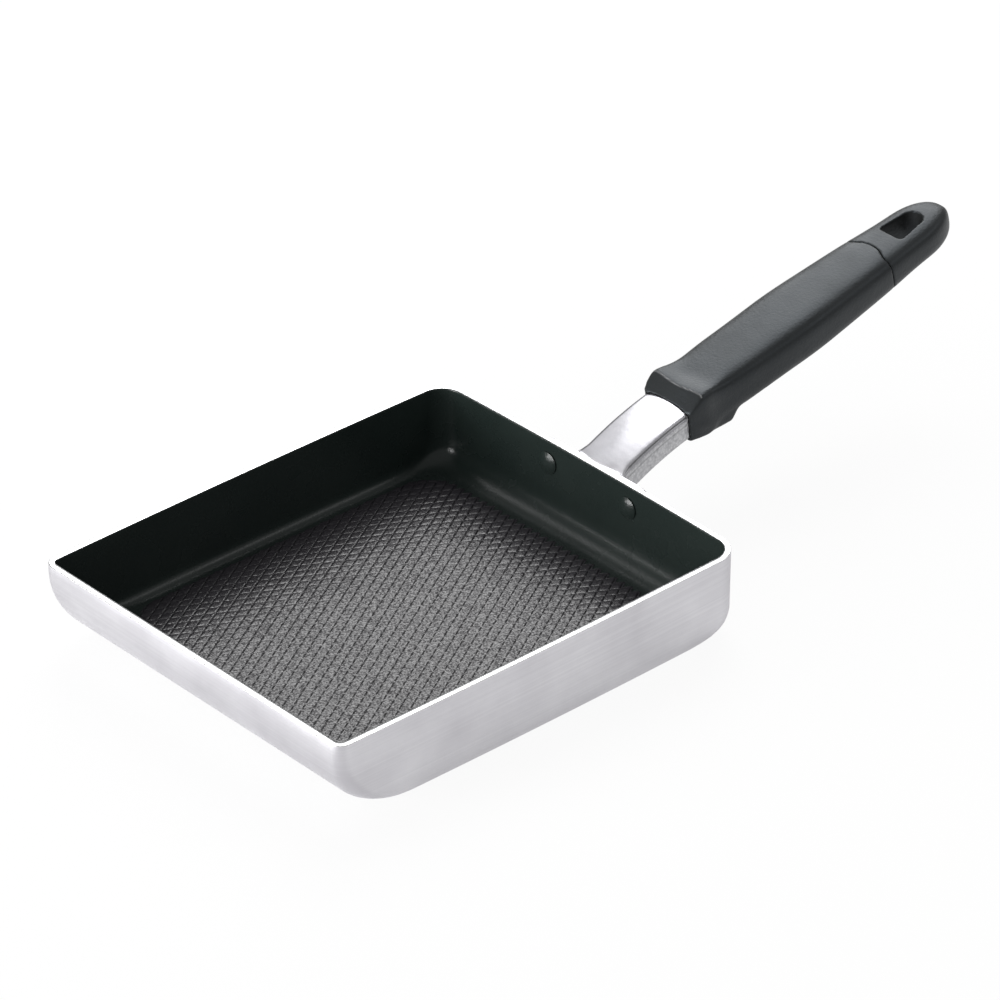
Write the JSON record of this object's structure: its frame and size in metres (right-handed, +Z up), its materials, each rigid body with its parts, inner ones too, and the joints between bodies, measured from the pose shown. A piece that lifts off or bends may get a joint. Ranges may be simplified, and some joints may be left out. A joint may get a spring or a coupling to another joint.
{
  "type": "tamagoyaki pan",
  "caption": "Rectangular rolled-omelette pan with a swept-up front wall, a patterned non-stick base and an upward angled handle.",
  "frame": {"origin": "middle of the cooking rectangle, on the flat underside that the pan rests on", "axes": "+X from the pan towards the handle, +Y to the left when looking along +X, +Z up"},
  "size_m": [0.36, 0.156, 0.0749],
  "materials": {
    "body_metal": "satin, fine brushed walls and a bright machined rim",
    "coating": "satin non-stick coating",
    "neck_metal": "polished top, fine cast grain on the sides",
    "rivet_coated": "satin coated head",
    "phenolic": "satin moulded phenolic",
    "steel": "zinc plated"
  },
  "bodies": {
    "root": {"pan_body": "body_metal", "nonstick_coating": "coating", "neck": "neck_metal", "rivet_left": "rivet_coated", "rivet_right": "rivet_coated", "grip": "phenolic", "end_cap": "phenolic", "handle_screw": "steel", "lock_washer": "steel"}
  },
  "joints": []
}
